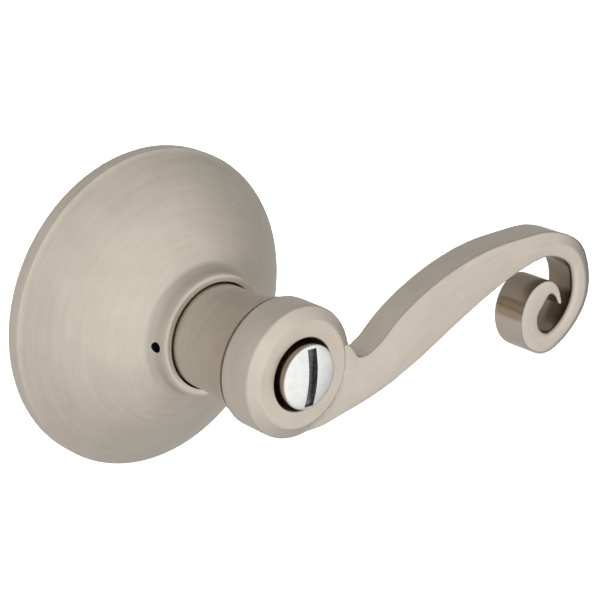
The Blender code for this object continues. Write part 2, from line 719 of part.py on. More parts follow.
def build():
    clear_scene()
    satin_nickel = make_material("satin_nickel", (0.62, 0.57, 0.50), 1.0, 0.35)
    bright_nickel = make_material("bright_nickel", (0.82, 0.82, 0.80), 1.0, 0.2)
    zinc_steel = make_material("zinc_steel", (0.62, 0.62, 0.60), 1.0, 0.4)
    spring_steel = make_material("spring_steel", (0.35, 0.34, 0.33), 1.0, 0.35)
    black_steel = make_material("black_steel", (0.06, 0.06, 0.06), 1.0, 0.45)
    die_cast = make_material("die_cast", (0.48, 0.48, 0.48), 1.0, 0.55)
    nylon = make_material("black_nylon", (0.03, 0.03, 0.03), 0.0, 0.5)

    rose(satin_nickel)
    mounting_plate(zinc_steel)
    screw_posts(zinc_steel)
    spring_housing(die_cast)
    housing_screws(zinc_steel)
    tube_bushing(nylon)
    washer_radii = (TUBE_RADIUS + GAP, TUBE_RADIUS + 2.7)
    washer_span = (THRUST_FACE - WASHER_THICKNESS, THRUST_FACE)
    flat_ring("thrust_washer", washer_radii, washer_span, spring_steel)
    return_spring(spring_steel)

    lever_axis = add_axis("lever_axis")
    lever(satin_nickel, lever_axis)
    drive_tube(zinc_steel, lever_axis)
    drive_cam(zinc_steel, lever_axis)
    spindle(zinc_steel, lever_axis)
    ring_radii = (TUBE_GROOVE_RADIUS + GAP, TUBE_RADIUS + 2.4)
    ring_rear = washer_span[0] - GAP
    ring_span = (ring_rear - RING_THICKNESS, ring_rear)
    flat_ring("retaining_ring", ring_radii, ring_span, spring_steel, lever_axis)
    button_sleeve(nylon, lever_axis)
    catch_spring(black_steel, lever_axis)

    catch_axis = add_axis("catch_axis", lever_axis)
    lever_catch(black_steel, catch_axis)

    button_axis = add_axis("button_axis", lever_axis)
    turn_button(bright_nickel, button_axis)
    clip_radii = (STEM_GROOVE_RADIUS + GAP, WEB_BORE + 0.4)
    clip_front = WEB_REAR + GAP
    clip_span = (clip_front, clip_front + CLIP_THICKNESS)
    flat_ring("button_clip", clip_radii, clip_span, spring_steel, button_axis)
    washer_radii = (SLEEVE_BORE + GAP / 3, BUTTON_RADIUS - GAP)
    washer_front = BUTTON_BACK + GAP
    washer_span = (washer_front, washer_front + BUTTON_WASHER_THICKNESS)
    flat_ring("button_washer", washer_radii, washer_span, spring_steel, button_axis)
    torque_blade(zinc_steel, button_axis)


build()
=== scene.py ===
"""Looks of the door lever handle: fine meshes, metals, studio and camera.

The frame is the CAD's: the origin is the centre of the rose's back plane on
the door, +Y points into the door, +Z up and the lever's arm points to +X.
Lengths are in millimetres; to_mesh() turns them into metres.
"""

import json
import math

import bmesh
import bpy
import numpy as np
from mathutils import Matrix, Vector


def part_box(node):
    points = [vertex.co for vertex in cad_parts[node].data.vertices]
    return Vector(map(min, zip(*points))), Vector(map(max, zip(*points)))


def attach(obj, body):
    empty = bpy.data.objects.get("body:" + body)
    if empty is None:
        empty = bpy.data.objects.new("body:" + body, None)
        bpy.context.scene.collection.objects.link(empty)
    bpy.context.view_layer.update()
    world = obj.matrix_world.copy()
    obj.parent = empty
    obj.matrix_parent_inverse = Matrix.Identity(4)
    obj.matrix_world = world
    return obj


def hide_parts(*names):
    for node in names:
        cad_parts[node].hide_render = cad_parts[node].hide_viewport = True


MM = 0.001
GAP = 0.3
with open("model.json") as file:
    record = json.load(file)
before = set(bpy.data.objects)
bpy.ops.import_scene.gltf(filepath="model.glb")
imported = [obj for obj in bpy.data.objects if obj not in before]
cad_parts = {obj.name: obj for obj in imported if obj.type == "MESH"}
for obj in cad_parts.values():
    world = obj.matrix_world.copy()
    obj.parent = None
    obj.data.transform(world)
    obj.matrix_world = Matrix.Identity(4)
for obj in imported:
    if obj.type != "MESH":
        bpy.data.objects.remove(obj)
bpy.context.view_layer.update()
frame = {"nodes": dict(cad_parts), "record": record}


def size_of(node):
    """Lowest and highest corner of a CAD node, in millimetres."""
    low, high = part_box(node)
    return np.array(low) / MM, np.array(high) / MM


ROSE_LOW, ROSE_HIGH = size_of("rose")
LEVER_LOW, LEVER_HIGH = size_of("lever")
PLATE_LOW, PLATE_HIGH = size_of("mounting_plate")
BUTTON_LOW, BUTTON_HIGH = size_of("turn_button")

# Rose
ROSE_RADIUS = ROSE_HIGH[0]
COLLAR_FRONT = ROSE_LOW[1]
ROSE_SHEET = 1.0
SKIRT_DEPTH = 3.15
# radius and y where the two faces of the dome start and end, skirt first
DOME_START = (ROSE_RADIUS - 0.45, -SKIRT_DEPTH - 0.3)
DOME_END = (15.7, -19.45)
DOME_INSIDE_START = (ROSE_RADIUS - ROSE_SHEET - 0.5, -2.6)
DOME_INSIDE_END = (15.1, -18.6)
DOME_SAGITTA = 1.05
COLLAR_RADIUS = 14.0
COLLAR_FOOT = -20.5
COLLAR_INSIDE_FOOT = -18.9
COLLAR_FILLET = 3.6
COLLAR_LIP = 1.1
ROSE_HOLE_RADIUS = 12.15
RELEASE_HOLE_Y = -22.1
RELEASE_HOLE_Z = 0.45
RELEASE_HOLE_RADIUS = 1.2
RELEASE_HOLE_DEPTH = 5.0

# Lever
NECK_REAR = LEVER_HIGH[1]
NECK_RADIUS = 11.8
NECK_FLARE_START = -27.0
NECK_FLARE_SAGITTA = 0.65
NECK_FRONT_RADIUS = 14.0
LEVER_BORE = 9.2
HUB_RADIUS = 14.5
HUB_REAR = -43.9
HUB_GROOVE_WIDTH = 0.95
HUB_GROOVE_DEPTH = 0.8
HUB_EDGE = -51.5
HUB_RING_RADIUS = 11.8
HUB_FACE = LEVER_LOW[1]
RECESS_RADIUS = 7.95
RECESS_LIP = 0.4
WEB_FRONT = -45.0
WEB_REAR = -40.0
WEB_BORE = 5.4
CATCH_WINDOW = 1.8
ARM_FRONT = -52.9
# between these x positions the arm's front leaves the hub's surface, at its
# upper and at its lower edge
ARM_ROOT_UPPER = (7.0, 13.0)
ARM_ROOT_LOWER = (-1.0, 7.0)
ARM_REAR_AT_HUB = -45.8
ARM_REAR_AT_SCROLL = -43.3
ARM_CROWN = 0.12
ARM_INSET = 0.05
ARM_PITCH = 0.4
ARM_BACK_ROUND = 1.1
ARM_LOWER_ROUND = 0.7
ARM_CHAMFER = 0.3
# on the scroll the chamfer is deeper and wider and the lower edge rounder by
# this much, between these shares of the arm's length
SCROLL_DEEPER = 0.45
SCROLL_WIDER = 1.4
SCROLL_ROUNDER = 0.8
CHAMFER_START = (0.58, 0.66)
CHAMFER_END = (0.76, 0.86)
# beside the hub the upper edge runs level, after an arc that starts on the hub
NOTCH_END = 21.2
NOTCH_FLOOR = -1.1
NOTCH_SLOPE = 0.9
NOTCH_ARC_END = 17.6
NOTCH_ARC_LENGTH = 2.5
NOTCH_ARC_RISE = 4.4
# centre line of the arm, as in the CAD: x, z and width
ARM_KNOTS = (
    (0.0, -7.3, 14.0),
    (6.0, -7.2, 13.3),
    (11.0, -7.05, 12.0),
    (17.4, -6.5, 11.0),
    (24.1, -5.0, 10.9),
    (32.0, -0.95, 13.3),
    (43.0, 3.9, 13.4),
    (56.0, 7.9, 11.2),
    (67.0, 9.6, 8.2),
)
# the arm's finish, in distances along it: where the scroll's unbrushed sides,
# with their painted shade, start, and where the painted dark reflection on the rim of the scroll starts
# and ends
SIDES_START = (76.0, 92.0)
RIM_START = (82.0, 92.0)
RIM_END = (106.0, 120.0)
# and in distances round the section, from the back over the upper side
RIM_OUTER = (8.2, 8.6)
RIM_INNER = (10.9, 11.6)
FRONT_MIDDLE = (11.5, 12.0)
INNER_SIDE = (11.2, 12.0)
SCROLL_CENTRE = (78.3, -6.2)
# the scroll, as in the CAD: degrees from its top, radius and width
SCROLL_KNOTS = (
    (0, 15.8, 6.1),
    (45, 14.2, 6.1),
    (90, 12.1, 6.3),
    (135, 9.8, 5.3),
    (180, 9.2, 5.2),
    (225, 7.9, 5.5),
    (270, 6.4, 5.8),
    (315, 5.2, 6.2),
    (360, 5.0, 3.7),
    (400, 4.3, 2.0),
    (440, 4.0, 1.3),
)

# Turn button
BUTTON_RADIUS = BUTTON_HIGH[0]
BUTTON_CROWN = BUTTON_LOW[1]
BUTTON_EDGE = BUTTON_CROWN + 0.9
BUTTON_RIM = 0.7
BUTTON_BACK = -48.5
STEM_RADIUS = 3.6
STEM_REAR = BUTTON_HIGH[1]
CLIP_GROOVE_DEPTH = 0.5
CLIP_GROOVE_WIDTH = 1.4
SLOT_LENGTH = 12.7
SLOT_WIDTH = 2.4
SLOT_FLOOR = -54.4
SLOT_LEAN = 4.0
BLADE_WIDTH = 1.5
BLADE_LENGTH = 4.8
BLADE_CLEARANCE = 0.15
BLADE_SLOT_FRONT = -46.3

# Back of the handle
PLATE_HOLE_RADIUS = 7.5
POST_OFFSET = 19.0
POST_RADIUS = 3.2
POST_HEAD_RADIUS = 3.5
POST_BORE = 1.9
POST_PITCH = 0.75
POST_THREAD_DEPTH = 18.0
EAR_CENTRE = 18.2
EAR_ANGLES = (90.0, 210.0, 330.0)
SCREW_RADIUS = 1.5
SCREW_HEAD_RADIUS = 2.6
SCREW_HEAD_HEIGHT = 1.3
SPINDLE_FLAT = 4.2
SPINDLE_BORE = 3.0
SPINDLE_HEAD = 1.5
SPINDLE_SIDES = 96


# ---------------------------------------------------------------- meshes

def to_mesh(name, points, faces):
    bm = bmesh.new()
    verts = [bm.verts.new(tuple(c * MM for c in point)) for point in points]
    for face in faces:
        bm.faces.new([verts[i] for i in face])
    bmesh.ops.recalc_face_normals(bm, faces=bm.faces)
    mesh = bpy.data.meshes.new(name)
    bm.to_mesh(mesh)
    bm.free()
    return mesh


def shade(obj):
    """Smooth shading, with creases where faces meet at a clear angle."""
    obj.data.shade_smooth()
    obj.data.set_sharp_from_angle(angle=math.radians(28))


def add_object(name, mesh, material):
    mesh.materials.append(material)
    obj = bpy.data.objects.new(name, mesh)
    bpy.context.scene.collection.objects.link(obj)
    shade(obj)
    return obj


def arc(start, end, sagitta, count):
    """Points between start and end on a parabolic arc that bulges left."""
    start = np.array(start)
    end = np.array(end)
    chord = end - start
    left = np.array([-chord[1], chord[0]]) / np.linalg.norm(chord)
    points = []
    for t in np.linspace(0.0, 1.0, count):
        points.append(tuple(start + chord * t + left * sagitta * 4 * t * (1 - t)))
    return points


def rounded(corners, steps=5):
    """A closed outline whose corners (a, b, radius) are turned into arcs."""
    points = []
    count = len(corners)
    for i, corner in enumerate(corners):
        here = np.array(corner[:2], float)
        radius = corner[2] if len(corner) > 2 else 0.0
        if radius == 0.0:
            points.append(tuple(here))
            continue
        back = np.array(corners[i - 1][:2], float) - here
        ahead = np.array(corners[(i + 1) % count][:2], float) - here
        back /= np.linalg.norm(back)
        ahead /= np.linalg.norm(ahead)
        half = math.acos(np.clip(back @ ahead, -1.0, 1.0)) / 2
        reach = radius / math.tan(half)
        middle = (back + ahead) / np.linalg.norm(back + ahead)
        centre = here + middle * radius / math.sin(half)
        first = here + back * reach - centre
        last = here + ahead * reach - centre
        for t in np.linspace(0.0, 1.0, steps):
            ray = first * (1 - t) + last * t
            points.append(tuple(centre + ray / np.linalg.norm(ray) * radius))
    return points


def lathe(name, outline, segments=144):
    """Turn a closed outline of (radius, y) about the Y axis.

    Points at radius 0 become one vertex on the axis each.
    """
    points = []
    rings = []
    for radius, y in outline:
        if radius < 1e-6:
            rings.append([len(points)] * segments)
            points.append((0.0, y, 0.0))
            continue
        rings.append(range(len(points), len(points) + segments))
        for k in range(segments):
            angle = 2 * math.pi * k / segments
            points.append((radius * math.cos(angle), y, radius * math.sin(angle)))
    faces = []
    for i, ring in enumerate(rings):
        above = rings[(i + 1) % len(rings)]
        for k in range(segments):
            n = (k + 1) % segments
            face = list(dict.fromkeys((ring[k], ring[n], above[n], above[k])))
            if len(face) > 2:
                faces.append(face)
    return to_mesh(name, points, faces)


def prism(name, outline, y_low, y_high):
    """Extrude an outline of (x, z) along Y."""
    count = len(outline)
    points = [(x, y, z) for y in (y_low, y_high) for x, z in outline]
    faces = [range(count), range(count, 2 * count)]
    for k in range(count):
        n = (k + 1) % count
        faces.append((k, n, count + n, count + k))
    return to_mesh(name, points, faces)


def box(name, x_range, y_range, z_range):
    (x0, x1), (z0, z1) = x_range, z_range
    return prism(name, [(x0, z0), (x1, z0), (x1, z1), (x0, z1)], *y_range)


def polar(radius, degrees, centre=(0.0, 0.0)):
    angle = math.radians(degrees)
    return centre[0] + radius * math.cos(angle), centre[1] + radius * math.sin(angle)


def cut(obj, mesh, operation="DIFFERENCE", rotation=(0, 0, 0), location=(0, 0, 0)):
    """Apply a Boolean with another mesh, which is then removed."""
    tool = bpy.data.objects.new("tool", mesh)
    tool.rotation_euler = rotation
    tool.location = location
    bpy.context.scene.collection.objects.link(tool)
    modifier = obj.modifiers.new("cut", "BOOLEAN")
    modifier.operation = operation
    modifier.object = tool
    apply_modifiers(obj)
    bpy.data.objects.remove(tool, do_unlink=True)


def apply_modifiers(obj):
    bpy.context.view_layer.update()
    evaluated = obj.evaluated_get(bpy.context.evaluated_depsgraph_get())
    mesh = bpy.data.meshes.new_from_object(evaluated)
    obj.modifiers.clear()
    obj.data = mesh


def soften(obj, width, angle=35, segments=3):
    """Round the edges that are sharper than an angle."""
    modifier = obj.modifiers.new("soften", "BEVEL")
    modifier.width = width * MM
    modifier.segments = segments
    modifier.limit_method = "ANGLE"
    modifier.angle_limit = math.radians(angle)
    apply_modifiers(obj)


# ---------------------------------------------------------------- materials

class Surface:
    """A Principled material and short ways to add the nodes that feed it."""

    def __init__(self, name, metallic, roughness, colour):
        self.material = bpy.data.materials.new(name)
        self.material.use_nodes = True
        self.tree = self.material.node_tree
        self.shader = self.tree.nodes["Principled BSDF"]
        self.shader.inputs["Metallic"].default_value = metallic
        self.shader.inputs["Roughness"].default_value = roughness
        self.shader.inputs["Base Color"].default_value = (*colour, 1.0)

    def node(self, kind, inputs=(), **settings):
        node = self.tree.nodes.new(kind)
        for key, value in settings.items():
            setattr(node, key, value)
        for key, value in dict(inputs).items():
            if isinstance(value, bpy.types.NodeSocket):
                self.tree.links.new(value, node.inputs[key])
            else:
                node.inputs[key].default_value = value
        return node

    def math(self, operation, a, b=0.0):
        return self.node("ShaderNodeMath", {0: a, 1: b}, operation=operation).outputs[0]

    def place(self):
        """The point on the piece in millimetres."""
        coords = self.node("ShaderNodeTexCoord").outputs["Object"]
        scaled = self.node("ShaderNodeVectorMath", {0: coords, "Scale": 1 / MM}, operation="SCALE")
        return scaled.outputs[0]

    def round_grain(self):
        """Coordinates for brushing in circles about the Y axis."""
        axes = self.node("ShaderNodeSeparateXYZ", {0: self.place()}).outputs
        square = self.math("ADD", self.math("MULTIPLY", axes[0], axes[0]),
                           self.math("MULTIPLY", axes[2], axes[2]))
        radius = self.math("SQRT", square)
        inner = self.math("MAXIMUM", radius, 0.01)
        sine = self.math("DIVIDE", axes[2], inner)
        cosine = self.math("DIVIDE", axes[0], inner)
        across = self.math("ADD", radius, axes[1])
        across = self.math("MULTIPLY", across, 0.72)
        lengthwise = 1.6
        out = self.node("ShaderNodeCombineXYZ", {
            0: across,
            1: self.math("MULTIPLY", sine, lengthwise),
            2: self.math("MULTIPLY", cosine, lengthwise),
        })
        return out.outputs[0]

    def path_place(self):
        """Distances in millimetres along the arm and around its section."""
        uv = self.node("ShaderNodeUVMap", uv_map="Along").outputs[0]
        axes = self.node("ShaderNodeSeparateXYZ", {0: uv}).outputs
        return self.math("MULTIPLY", axes[0], 1 / MM), self.math("MULTIPLY", axes[1], 1 / MM)

    def path_grain(self):
        """Coordinates for brushing along the arm."""
        along, around = self.path_place()
        slow = self.math("MULTIPLY", along, 0.06)
        return self.node("ShaderNodeCombineXYZ", {0: around, 1: slow, 2: 0.0}).outputs[0]

    def brush_highlight(self, along_path):
        """Stretch the highlights across the direction of the brushing."""
        if along_path:
            brushing = self.node("ShaderNodeTangent", direction_type="UV_MAP", uv_map="Along").outputs[0]
        else:
            coords = self.node("ShaderNodeTexCoord").outputs["Object"]
            around = self.node("ShaderNodeVectorMath", {0: (0.0, 1.0, 0.0), 1: coords},
                               operation="CROSS_PRODUCT").outputs[0]
            brushing = self.node("ShaderNodeVectorTransform", {"Vector": around}, vector_type="VECTOR",
                                 convert_from="OBJECT", convert_to="WORLD").outputs[0]
        self.tree.links.new(brushing, self.shader.inputs["Tangent"])
        self.shader.inputs["Anisotropic"].default_value = 0.5
        self.shader.inputs["Anisotropic Rotation"].default_value = 0.25

    def facing(self):
        """The normal along Y: -1 on the faces towards the room, 0 on the sides."""
        normal = self.node("ShaderNodeTexCoord").outputs["Normal"]
        return self.node("ShaderNodeSeparateXYZ", {0: normal}).outputs[1]

    def band(self, value, middle, half_width):
        """One in the middle of a band of values, falling to zero at its ends."""
        away = self.math("ABSOLUTE", self.math("SUBTRACT", value, middle))
        return self.spread(away, half_width * 0.4, half_width, 1.0, 0.0)

    def scroll_sides(self):
        """One on the sides of the scroll, and one for the painted shade on them, darkest in a band about
        z = -1 mm and where they face each other.
        """
        along, around = self.path_place()
        scroll = self.spread(along, *SIDES_START)
        side = self.spread(self.math("ABSOLUTE", self.facing()), 0.2, 0.6, 1.0, 0.0)
        sides = self.math("MULTIPLY", scroll, side)
        height = self.node("ShaderNodeSeparateXYZ", {0: self.place()}).outputs[2]
        inner = self.spread(around, *INNER_SIDE)
        dark = self.math("ADD", self.math("MULTIPLY", self.band(height, -1.0, 6.0), 0.8), inner)
        return sides, self.math("MULTIPLY", sides, self.math("MINIMUM", dark, 1.0))

    def upper_edge_reflection(self):
        """One on the edge between the arm's upper side and its front, for a painted dark reflection."""
        _, around = self.path_place()
        upper = self.spread(around, *FRONT_MIDDLE, 1.0, 0.0)
        return self.math("MULTIPLY", upper, self.band(self.facing(), -0.42, 0.30))

    def scroll_rim_reflection(self):
        """One on the chamfer along the outer edge of the scroll, for a painted dark reflection."""
        along, around = self.path_place()
        masks = (
            self.spread(along, *RIM_START),
            self.spread(along, *RIM_END, 1.0, 0.0),
            self.spread(around, *RIM_INNER, 1.0, 0.0),
        )
        rim = self.spread(around, *RIM_OUTER)
        for mask in masks:
            rim = self.math("MULTIPLY", rim, mask)
        return rim

    def noise(self, vector, scale, detail=2.0, roughness=0.5):
        node = self.node("ShaderNodeTexNoise", {
            "Vector": vector, "Scale": scale, "Detail": detail, "Roughness": roughness,
        })
        return node.outputs["Fac"]

    def spread(self, value, low, high, to_low=0.0, to_high=1.0):
        node = self.node("ShaderNodeMapRange", {
            "Value": value, "From Min": low, "From Max": high,
            "To Min": to_low, "To Max": to_high,
        })
        return node.outputs[0]

    def colours(self, factor, dark, light):
        node = self.node("ShaderNodeMix", {"Factor": factor}, data_type="RGBA")
        node.inputs[6].default_value = (*dark, 1.0)
        node.inputs[7].default_value = (*light, 1.0)
        self.tree.links.new(node.outputs[2], self.shader.inputs["Base Color"])

    def roughness(self, factor, low, high):
        value = self.spread(factor, 0.3, 0.7, low, high)
        self.tree.links.new(value, self.shader.inputs["Roughness"])

    def blend(self, name, factor, value):
        """Move an input that is already fed towards a constant."""
        source = self.shader.inputs[name].links[0].from_socket
        kind, first, second, out = ("RGBA", 6, 7, 2) if isinstance(value, tuple) else ("FLOAT", 2, 3, 0)
        node = self.node("ShaderNodeMix", {"Factor": factor, first: source, second: value},
                         data_type=kind)
        self.tree.links.new(node.outputs[out], self.shader.inputs[name])

    def bump(self, height, depth, strength=1.0):
        """Add relief of a depth in millimetres, on top of any before it."""
        inputs = {"Height": height, "Distance": depth * MM, "Strength": strength}
        before = self.shader.inputs["Normal"].links
        if before:
            inputs["Normal"] = before[0].from_socket
        node = self.node("ShaderNodeBump", inputs)
        self.tree.links.new(node.outputs[0], self.shader.inputs["Normal"])


def brushed_nickel(name, along_path=False):
    """Satin nickel: fine streaks, slower bands, and a soft mottle under them."""
    surface = Surface(name, 1.0, 0.36, (0.62, 0.56, 0.48))
    surface.brush_highlight(along_path)
    grain = surface.path_grain() if along_path else surface.round_grain()
    fine = surface.noise(grain, 5.0, 3.0, 0.65)
    bands = surface.noise(grain, 0.9, 2.0, 0.5)
    mottle = surface.noise(surface.place(), 0.16, 2.0, 0.5)
    tone = surface.math("ADD", surface.math("MULTIPLY", fine, 0.35),
                        surface.math("MULTIPLY", bands, 0.35))
    tone = surface.math("ADD", tone, surface.math("MULTIPLY", mottle, 0.30))
    surface.colours(surface.spread(tone, 0.36, 0.64), (0.575, 0.515, 0.435), (0.66, 0.60, 0.515))
    surface.roughness(surface.math("ADD", surface.math("MULTIPLY", fine, 0.6),
                                   surface.math("MULTIPLY", bands, 0.4)), 0.30, 0.42)
    surface.bump(fine, 0.008)
    surface.bump(bands, 0.010)
    if along_path:
        # the brushing didn't reach the sides of the scroll, which are smoother; their darker, warmer
        # colour is painted shade, darkest where they face each other
        sides, shaded_sides = surface.scroll_sides()
        surface.blend("Base Color", sides, (0.53, 0.45, 0.375, 1.0))
        surface.blend("Base Color", shaded_sides, (0.24, 0.19, 0.14, 1.0))
        surface.blend("Roughness", sides, 0.20)
        # painted dark reflection along the edge between the arm's upper side and its front
        surface.blend("Base Color", surface.upper_edge_reflection(), (0.34, 0.30, 0.25, 1.0))
        # painted dark reflection on the chamfer along the scroll's outer edge
        surface.blend("Base Color", surface.scroll_rim_reflection(), (0.33, 0.30, 0.26, 1.0))
    return surface.material


def bright_nickel():
    surface = Surface("bright_nickel", 1.0, 0.16, (0.80, 0.80, 0.78))
    fine = surface.noise(surface.round_grain(), 6.0, 2.0)
    haze = surface.noise(surface.place(), 0.5, 3.0)
    surface.colours(surface.spread(haze, 0.35, 0.65), (0.77, 0.77, 0.75), (0.84, 0.84, 0.82))
    surface.roughness(haze, 0.12, 0.22)
    surface.bump(fine, 0.002)
    # painted shade: the side of the button, in the gap round it, takes a dark brown
    surface.blend("Base Color", surface.spread(surface.facing(), -0.80, -0.30), (0.42, 0.35, 0.29, 1.0))
    return surface.material


def shaded_slot_nickel():
    """The floor and walls of the coin slot, which the polishing doesn't reach, so rougher; their dark
    colour is painted shade.
    """
    surface = Surface("shaded_slot_nickel", 1.0, 0.5, (0.24, 0.24, 0.25))
    haze = surface.noise(surface.place(), 1.5, 3.0)
    surface.colours(surface.spread(haze, 0.35, 0.65), (0.18, 0.18, 0.19), (0.30, 0.30, 0.31))
    surface.roughness(haze, 0.40, 0.60)
    surface.bump(haze, 0.02)
    return surface.material


def zinc_steel():
    """Zinc plated steel: cloudy, with faint blue and yellow tints."""
    surface = Surface("zinc_steel", 1.0, 0.38, (0.62, 0.62, 0.60))
    cloud = surface.noise(surface.place(), 0.35, 4.0, 0.6)
    surface.colours(surface.spread(cloud, 0.35, 0.65), (0.52, 0.54, 0.56), (0.68, 0.665, 0.61))
    surface.roughness(cloud, 0.30, 0.46)
    surface.bump(surface.noise(surface.place(), 3.0, 4.0, 0.6), 0.01)
    return surface.material


def spring_steel():
    surface = Surface("spring_steel", 1.0, 0.34, (0.35, 0.34, 0.33))
    cloud = surface.noise(surface.place(), 0.8, 3.0)
    surface.colours(surface.spread(cloud, 0.35, 0.65), (0.26, 0.25, 0.24), (0.42, 0.41, 0.39))
    surface.roughness(cloud, 0.28, 0.42)
    surface.bump(surface.noise(surface.place(), 6.0, 2.0), 0.006)
    return surface.material


def black_steel():
    """Steel with a black oxide finish."""
    surface = Surface("black_steel", 1.0, 0.5, (0.05, 0.05, 0.05))
    cloud = surface.noise(surface.place(), 1.0, 3.0)
    surface.colours(surface.spread(cloud, 0.35, 0.65), (0.03, 0.03, 0.032), (0.07, 0.068, 0.066))
    surface.roughness(cloud, 0.42, 0.58)
    surface.bump(surface.noise(surface.place(), 5.0, 3.0), 0.01)
    return surface.material


def die_cast():
    """Zinc alloy as cast: dull and finely grained."""
    surface = Surface("die_cast", 1.0, 0.55, (0.48, 0.48, 0.48))
    cloud = surface.noise(surface.place(), 0.4, 3.0)
    surface.colours(surface.spread(cloud, 0.35, 0.65), (0.42, 0.42, 0.42), (0.54, 0.54, 0.53))
    surface.roughness(cloud, 0.48, 0.62)
    surface.bump(surface.noise(surface.place(), 4.0, 4.0, 0.7), 0.03)
    return surface.material


def black_nylon():
    surface = Surface("black_nylon", 0.0, 0.5, (0.03, 0.03, 0.03))
    cloud = surface.noise(surface.place(), 1.2, 3.0)
    surface.colours(surface.spread(cloud, 0.35, 0.65), (0.018, 0.018, 0.018), (0.04, 0.038, 0.036))
    surface.roughness(cloud, 0.42, 0.56)
    surface.bump(surface.noise(surface.place(), 8.0, 2.0), 0.008)
    return surface.material


# ---------------------------------------------------------------- rose

def make_rose(material, hole_shade_material):
    """A pressed cover with a raised collar, drilled for the release pin."""
    inner = ROSE_RADIUS - ROSE_SHEET
    outside = arc(DOME_START, DOME_END, DOME_SAGITTA, 28)
    inside = arc(DOME_INSIDE_END, DOME_INSIDE_START, -DOME_SAGITTA, 14)
    corners = [
        (inner, 0.0, 0.12),
        (ROSE_RADIUS, 0.0, 0.25),
        (ROSE_RADIUS, -SKIRT_DEPTH, 0.45),
    ]
    # the fillet of the collar takes the place of the dome's last points
    corners += outside[:-3]
    corners += [
        (COLLAR_RADIUS + 0.5, COLLAR_FOOT, COLLAR_FILLET),
        (COLLAR_RADIUS, COLLAR_FRONT, COLLAR_LIP),
        (ROSE_HOLE_RADIUS, COLLAR_FRONT, 0.22),
        (ROSE_HOLE_RADIUS, COLLAR_FRONT + 0.9, 0.1),
        (COLLAR_RADIUS - ROSE_SHEET, COLLAR_FRONT + 1.3, 0.2),
        (COLLAR_RADIUS - ROSE_SHEET, COLLAR_INSIDE_FOOT, 0.4),
    ]
    corners += inside
    corners.append((inner, -2.2))
    rose = add_object("rose_cover", lathe("rose_cover", rounded(corners, 9), 180), material)
    # painted shade: the wall of the release hole takes the black oxide material
    rose.data.materials.append(hole_shade_material)
    radius, depth = RELEASE_HOLE_RADIUS, RELEASE_HOLE_DEPTH
    hole = lathe("hole", [(0, 0), (radius, 0), (radius, depth), (0, depth)], 32)
    hole.materials.append(material)
    hole.materials.append(hole_shade_material)
    hole.polygons.foreach_set("material_index", [1] * len(hole.polygons))
    cut(rose, hole, rotation=(0, 0, math.radians(-90)),
        location=(-(COLLAR_RADIUS + 3) * MM, RELEASE_HOLE_Y * MM, RELEASE_HOLE_Z * MM))
    shade(rose)
    return rose


# ---------------------------------------------------------------- lever

def smooth_path(knots, steps):
    """A curve of x, z and width through the knots, with even tangents."""
    knots = np.array(knots)
    before = 2 * knots[0] - knots[1]
    after = 2 * knots[-1] - knots[-2]
    knots = np.vstack([before, knots, after])
    chord = np.sqrt(np.linalg.norm(np.diff(knots[:, :2], axis=0), axis=1))
    tangents = []
    for i in range(1, len(knots) - 1):
        back = (knots[i] - knots[i - 1]) / chord[i - 1] ** 2
        ahead = (knots[i + 1] - knots[i]) / chord[i] ** 2
        share = chord[i] / (chord[i] + chord[i - 1])
        tangents.append(back * share + ahead * (1 - share))
    path = []
    for i in range(len(tangents) - 1):
        span = chord[i + 1] ** 2
        for t in np.arange(steps) / steps:
            start = knots[i + 1] * (2 * t ** 3 - 3 * t ** 2 + 1)
            leave = tangents[i] * span * (t ** 3 - 2 * t ** 2 + t)
            end = knots[i + 2] * (3 * t ** 2 - 2 * t ** 3)
            arrive = tangents[i + 1] * span * (t ** 3 - t ** 2)
            path.append(start + leave + end + arrive)
    path.append(knots[-2])
    return np.array(path)


def distances(path):
    """Distance along a path of points, from its start."""
    steps = np.linalg.norm(np.diff(path, axis=0), axis=1)
    return np.concatenate([[0.0], np.cumsum(steps)])


def even_path(knots, pitch):
    """The smooth path through the knots, in even steps and without kinks."""
    dense = smooth_path(knots, 40)
    along = distances(dense[:, :2])
    even = np.linspace(0.0, along[-1], int(along[-1] / pitch))
    path = np.array([np.interp(even, along, dense[:, k]) for k in range(3)]).T
    return without_kinks(path)


def without_kinks(values):
    """Average every value with its neighbours, over about a millimetre."""
    for _ in range(12):
        values[1:-1] += 0.25 * (values[:-2] - 2 * values[1:-1] + values[2:])
    return values


def smooth_step(value, low, high):
    t = np.clip((value - low) / (high - low), 0.0, 1.0)
    return t * t * (3 - 2 * t)


def upper_reach(x, z, width, tx):
    """From the centre line up to the upper edge, which the notch lowers."""
    reach = width / 2
    if x < SCROLL_CENTRE[0] / 2:
        floor = NOTCH_FLOOR + NOTCH_SLOPE * max(0.0, x - NOTCH_END)
        reach = min(reach, (floor - z) / tx)
    if x < NOTCH_ARC_END:
        t = min(1.0, (NOTCH_ARC_END - x) / NOTCH_ARC_LENGTH)
        reach += NOTCH_ARC_RISE * (1 - math.sqrt(1 - t * t)) * smooth_step(x, 8.0, 13.0)
    return reach


def arm_stations():
    """Stations: x, z, unit tangent, reach up and down, and distance."""
    knots = list(ARM_KNOTS)
    for turn, radius, width in SCROLL_KNOTS:
        knots.append((*polar(radius, 90 - turn, SCROLL_CENTRE), width))
    path = even_path(knots, ARM_PITCH)
    tangents = np.gradient(path[:, :2], axis=0)
    tangents /= np.linalg.norm(tangents, axis=1)[:, None]
    along = distances(path[:, :2])
    uppers = [upper_reach(*point, tx) for point, (tx, _) in zip(path, tangents)]
    uppers = without_kinks(np.array(uppers))
    stations = []
    for (x, z, width), (tx, tz), upper, distance in zip(path, tangents, uppers, along):
        stations.append((x, z, tx, tz, upper, width / 2, distance))
    x, z, tx, tz, _, half, end = stations[-1]
    for degrees in range(12, 85, 12):
        ahead = half * math.sin(math.radians(degrees))
        narrow = half * math.cos(math.radians(degrees))
        stations.append((x + tx * ahead, z + tz * ahead, tx, tz, narrow, narrow, end + ahead))
    return stations


